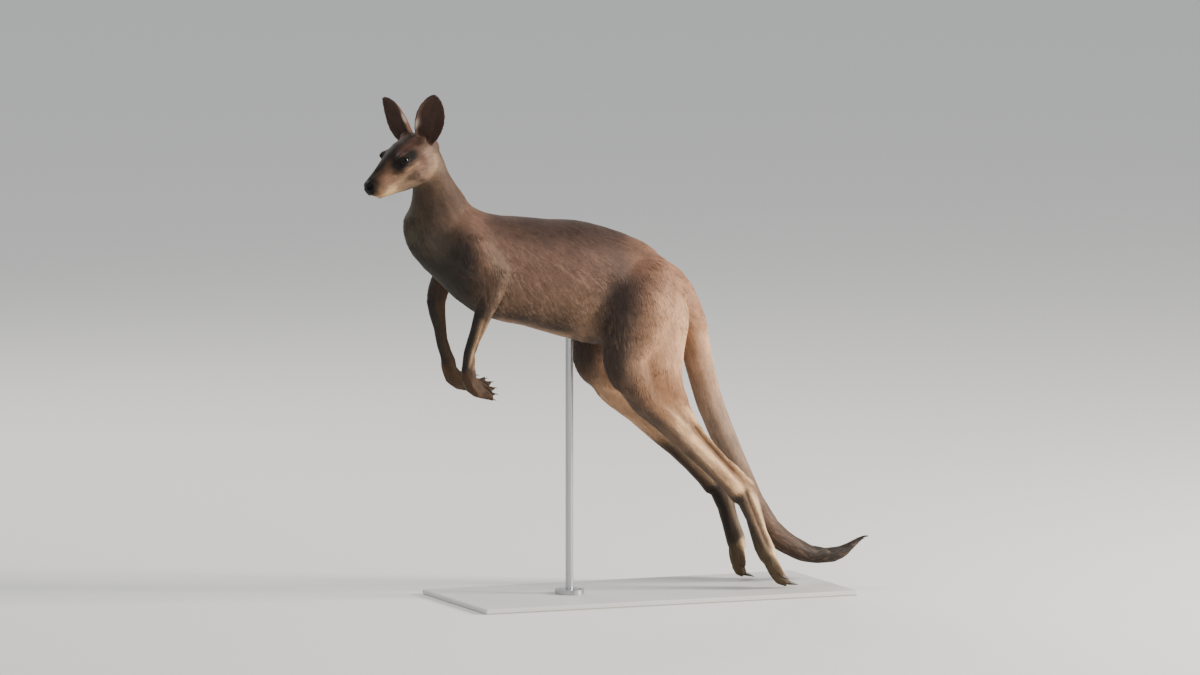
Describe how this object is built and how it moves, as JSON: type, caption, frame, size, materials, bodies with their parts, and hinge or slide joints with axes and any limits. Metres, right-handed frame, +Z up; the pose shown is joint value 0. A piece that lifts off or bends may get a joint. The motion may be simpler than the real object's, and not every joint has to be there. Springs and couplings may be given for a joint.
{
  "type": "grey kangaroo model",
  "caption": "Life-size grey kangaroo in mid-leap, neck raised, forearms tucked in, hind legs and tail trailing, held by one rod on a flat base.",
  "frame": {"origin": "centre of the underside of the stand's base", "axes": "+Z up, -X towards the nose, +X towards the tail, -Y the animal's left side"},
  "size_m": [1.2555, 0.4, 1.1829],
  "materials": {
    "fur": "short dense grey-brown coat",
    "ear_skin": "dark skin with very short hair",
    "nose_skin": "black, moist, fine-grained",
    "eye_gloss": "wet gloss",
    "claw_horn": "dark horn",
    "stand_paint": "flat grey paint",
    "rod_steel": "satin"
  },
  "bodies": {
    "root": {"belly": "fur", "chest": "fur", "ear_left": "ear_skin", "ear_right": "ear_skin", "eye_left": "eye_gloss", "eye_right": "eye_gloss", "finger_claw_1_left": "claw_horn", "finger_claw_1_right": "claw_horn", "finger_claw_2_left": "claw_horn", "finger_claw_2_right": "claw_horn", "finger_claw_3_left": "claw_horn", "finger_claw_3_right": "claw_horn", "finger_claw_4_left": "claw_horn", "finger_claw_4_right": "claw_horn", "finger_claw_5_left": "claw_horn", "finger_claw_5_right": "claw_horn", "foot_left": "fur", "foot_right": "fur", "forearm_left": "fur", "forearm_right": "fur", "hand_left": "fur", "hand_right": "fur", "head": "fur", "neck": "fur", "nose": "nose_skin", "rump": "fur", "shank_left": "fur", "shank_right": "fur", "stand_base": "stand_paint", "stand_flange": "rod_steel", "stand_rod": "rod_steel", "tail_lower": "fur", "tail_middle": "fur", "tail_root": "fur", "tail_tip": "fur", "thigh_left": "fur", "thigh_right": "fur", "toe_claw_inner_left": "claw_horn", "toe_claw_inner_right": "claw_horn", "toe_claw_long_left": "claw_horn", "toe_claw_long_right": "claw_horn", "toe_claw_outer_left": "claw_horn", "toe_claw_outer_right": "claw_horn", "toes_left": "fur", "toes_right": "fur", "upper_arm_left": "fur", "upper_arm_right": "fur"}
  },
  "joints": []
}
